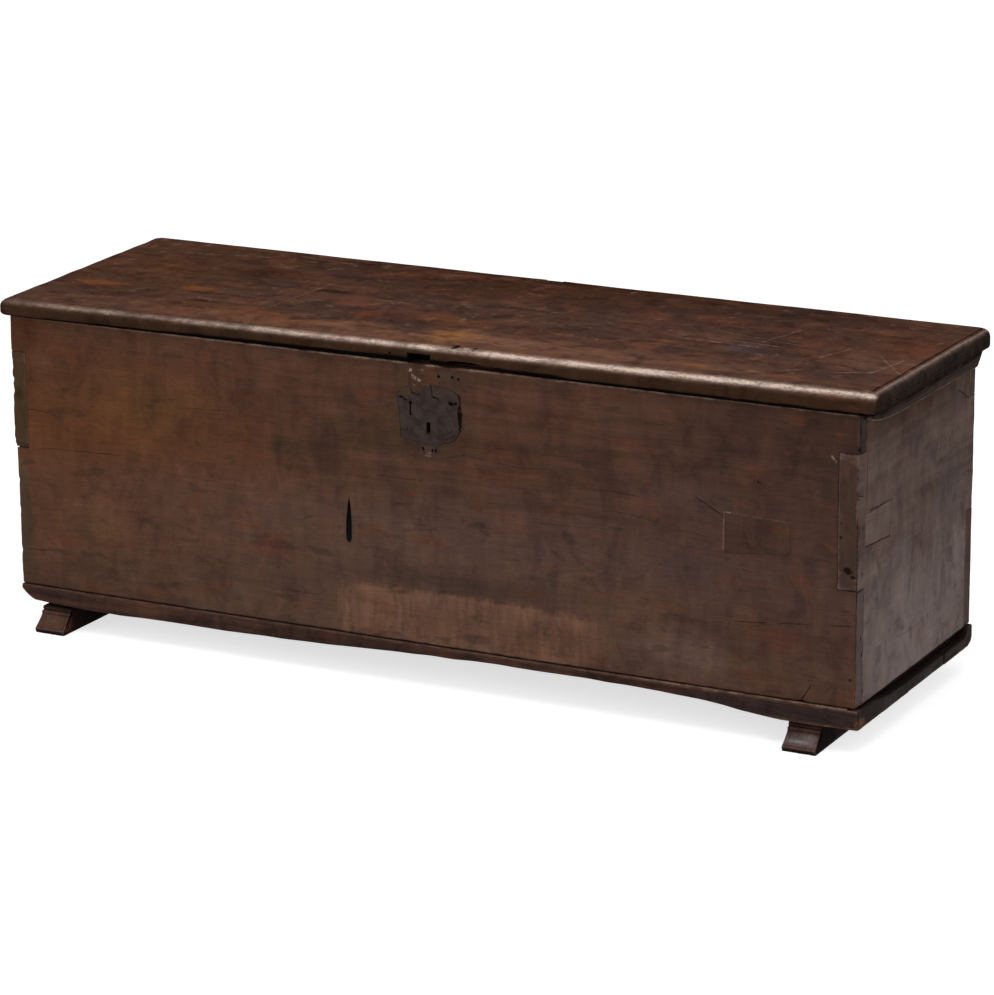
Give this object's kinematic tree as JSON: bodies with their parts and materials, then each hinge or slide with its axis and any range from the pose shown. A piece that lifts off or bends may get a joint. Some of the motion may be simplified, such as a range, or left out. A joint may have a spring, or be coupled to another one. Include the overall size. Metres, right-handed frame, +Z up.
{
  "type": "storage chest",
  "caption": "Low walnut plank chest on sledge runners, with an overhanging hinged lid, let-in repairs and an iron shield lock.",
  "frame": {"origin": "on the floor, under the middle of the overall box: the lid's length and the runners' depth", "axes": "+X along the front to the right as seen from the front, front faces -Y, +Z up"},
  "size_m": [1.6, 0.553, 0.5898],
  "materials": {
    "walnut": "old waxed walnut, satin",
    "lid_walnut": "polished red-brown walnut, worn",
    "base_walnut": "dark walnut, worn at the edges",
    "patch_walnut": "let-in walnut repair, satin",
    "wrought_iron": "dark wrought iron, dull"
  },
  "bodies": {
    "case": {"back_board": "walnut", "back_left_nail_1": "wrought_iron", "back_left_nail_2": "wrought_iron", "back_left_nail_3": "wrought_iron", "back_right_nail_1": "wrought_iron", "back_right_nail_2": "wrought_iron", "back_right_nail_3": "wrought_iron", "bottom_left_nail_1": "wrought_iron", "bottom_left_nail_2": "wrought_iron", "bottom_left_nail_3": "wrought_iron", "bottom_plank_back": "base_walnut", "bottom_plank_front": "base_walnut", "bottom_plank_middle": "base_walnut", "bottom_right_nail_1": "wrought_iron", "bottom_right_nail_2": "wrought_iron", "bottom_right_nail_3": "wrought_iron", "end_patch": "patch_walnut", "front_board": "walnut", "front_left_nail_1": "wrought_iron", "front_left_nail_2": "wrought_iron", "front_left_nail_3": "wrought_iron", "front_patch": "patch_walnut", "front_right_nail_1": "wrought_iron", "front_right_nail_2": "wrought_iron", "front_right_nail_3": "wrought_iron", "hinge_staple_case_left": "wrought_iron", "hinge_staple_case_middle": "wrought_iron", "hinge_staple_case_right": "wrought_iron", "left_end_board": "walnut", "left_runner": "base_walnut", "left_runner_nail_1": "wrought_iron", "left_runner_nail_2": "wrought_iron", "lock_guide_left": "wrought_iron", "lock_guide_right": "wrought_iron", "lock_nail_1": "wrought_iron", "lock_nail_2": "wrought_iron", "lock_nail_3": "wrought_iron", "lock_nail_4": "wrought_iron", "lock_plate": "wrought_iron", "lock_spring": "wrought_iron", "lock_ward": "wrought_iron", "right_end_board": "walnut", "right_runner": "base_walnut", "right_runner_nail_1": "wrought_iron", "right_runner_nail_2": "wrought_iron"},
    "lid": {"lid_board": "lid_walnut", "left_lid_cleat": "walnut", "right_lid_cleat": "walnut", "left_cleat_nail_1": "wrought_iron", "left_cleat_nail_2": "wrought_iron", "left_cleat_nail_3": "wrought_iron", "right_cleat_nail_1": "wrought_iron", "right_cleat_nail_2": "wrought_iron", "right_cleat_nail_3": "wrought_iron", "hinge_staple_lid_left": "wrought_iron", "hinge_staple_lid_middle": "wrought_iron", "hinge_staple_lid_right": "wrought_iron"},
    "bolt": {"lock_bolt": "wrought_iron"}
  },
  "joints": [
    {"name": "lid_hinge", "type": "hinge", "parent": "case", "child": "lid", "pos_m": [-0.003, 0.2575, 0.548], "axis": [-1, 0, 0], "range_deg": [0, 105]},
    {"name": "lock_bolt_slide", "type": "slide", "parent": "case", "child": "bolt", "axis": [-1, 0, 0], "range_m": [0, 0.014]}
  ]
}
